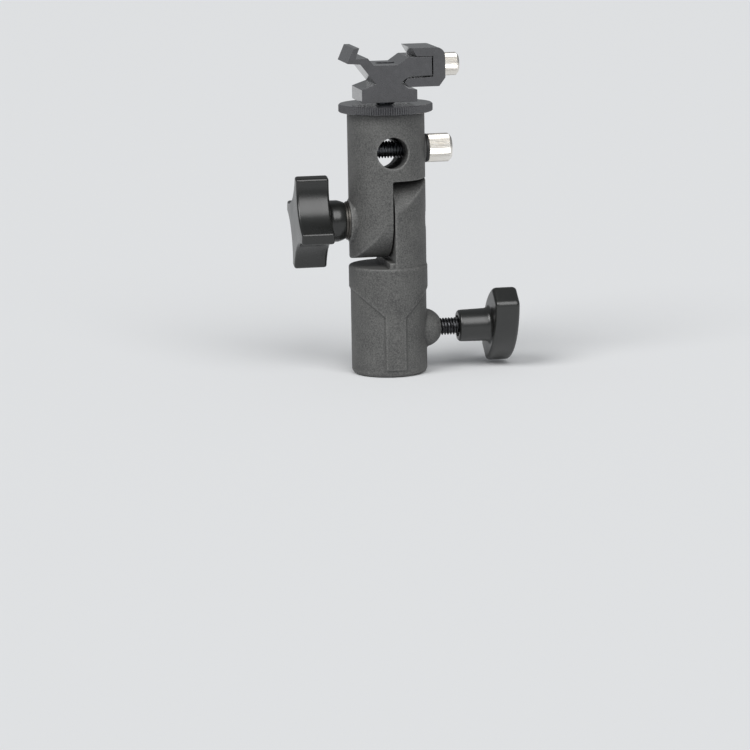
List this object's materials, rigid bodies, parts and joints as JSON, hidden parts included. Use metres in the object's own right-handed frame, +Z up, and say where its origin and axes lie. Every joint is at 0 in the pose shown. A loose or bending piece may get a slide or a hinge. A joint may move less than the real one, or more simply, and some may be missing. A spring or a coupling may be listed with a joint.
{
  "type": "umbrella swivel bracket",
  "caption": "Tilting bracket with a stand socket, a cross bore for an umbrella shaft and a turning, clamping accessory shoe.",
  "frame": {"origin": "centre of the stand socket's mouth", "axes": "+Z up the stand, X along the tilt axis with +X towards the socket knob, -Y to the front, where the umbrella shaft enters"},
  "size_m": [0.0748, 0.0322, 0.1106],
  "materials": {
    "casting": "dark grey textured powder coat on a die casting",
    "anodised_black": "black satin anodised",
    "plastic_black": "moulded, semi-gloss",
    "nickel": "bright nickel plate",
    "zinc_steel": "zinc-plated, dull",
    "brass": "turned",
    "nylon_black": "matt"
  },
  "bodies": {
    "lower": {"socket_body": "casting", "tilt_bolt": "zinc_steel", "friction_washer": "nylon_black"},
    "arm": {"upper_arm": "casting", "stud_bush": "zinc_steel", "stud_pin": "zinc_steel", "shoe_stud": "zinc_steel"},
    "tilt_washers": {"tilt_washer": "nickel", "tilt_spring_washer": "zinc_steel"},
    "tilt_knob_body": {"tilt_knob": "plastic_black", "tilt_knob_insert": "brass"},
    "socket_pad": {"socket_screw_pad": "brass"},
    "socket_knob_body": {"socket_screw": "zinc_steel", "socket_knob": "plastic_black"},
    "thumb_washer": {"umbrella_screw_washer": "nylon_black"},
    "thumb_screw": {"umbrella_screw": "nickel"},
    "disc": {"lock_disc": "anodised_black"},
    "shoe": {"shoe_body": "anodised_black"},
    "jaw": {"shoe_jaw": "anodised_black"},
    "jaw_screw_body": {"jaw_screw": "nickel"}
  },
  "joints": [
    {"name": "tilt", "type": "hinge", "parent": "lower", "child": "arm", "pos_m": [0, 0, 0.0522], "axis": [1, 0, 0], "range_deg": [-90, 90]},
    {"name": "tilt_knob_travel", "type": "slide", "parent": "lower", "child": "tilt_washers", "axis": [-1, 0, 0], "range_m": [0, 0.003]},
    {"name": "tilt_knob_turn", "type": "hinge", "parent": "tilt_washers", "child": "tilt_knob_body", "pos_m": [0, 0, 0.0522], "axis": [-1, 0, 0], "range_deg": [0, 1080]},
    {"name": "socket_screw_travel", "type": "slide", "parent": "lower", "child": "socket_pad", "axis": [1, 0, 0], "range_m": [-0.0055, 0.003]},
    {"name": "socket_knob_turn", "type": "hinge", "parent": "socket_pad", "child": "socket_knob_body", "pos_m": [0, 0, 0.0145], "axis": [1, 0, 0], "range_deg": [-1980, 1080]},
    {"name": "umbrella_screw_travel", "type": "slide", "parent": "arm", "child": "thumb_washer", "axis": [1, 0, 0], "range_m": [0, 0.012]},
    {"name": "umbrella_screw_turn", "type": "hinge", "parent": "thumb_washer", "child": "thumb_screw", "pos_m": [0, 0, 0.0757], "axis": [1, 0, 0], "range_deg": [0, 4320]},
    {"name": "disc_turn", "type": "hinge", "parent": "arm", "child": "disc", "pos_m": [0, 0, 0.0886], "axis": [0, 0, 1], "range_deg": [0, 270]},
    {"name": "shoe_swivel", "type": "hinge", "parent": "arm", "child": "shoe", "pos_m": [0, 0, 0.0913], "axis": [0, 0, 1], "range_deg": [-180, 180]},
    {"name": "jaw_slide", "type": "slide", "parent": "shoe", "child": "jaw", "axis": [1, 0, 0], "range_m": [-0.0003, 0.004]},
    {"name": "jaw_screw_turn", "type": "hinge", "parent": "jaw", "child": "jaw_screw_body", "pos_m": [0, 0, 0.1037], "axis": [1, 0, 0], "range_deg": [-154.4, 2057.2]}
  ],
  "couplings": [
    {"joint": "tilt_knob_turn", "follows": "tilt_knob_travel", "rad_per_m": 6283.2},
    {"joint": "socket_knob_turn", "follows": "socket_screw_travel", "rad_per_m": 6283.2},
    {"joint": "umbrella_screw_turn", "follows": "umbrella_screw_travel", "rad_per_m": 6283.2},
    {"joint": "jaw_screw_turn", "follows": "jaw_slide", "rad_per_m": 8976}
  ]
}
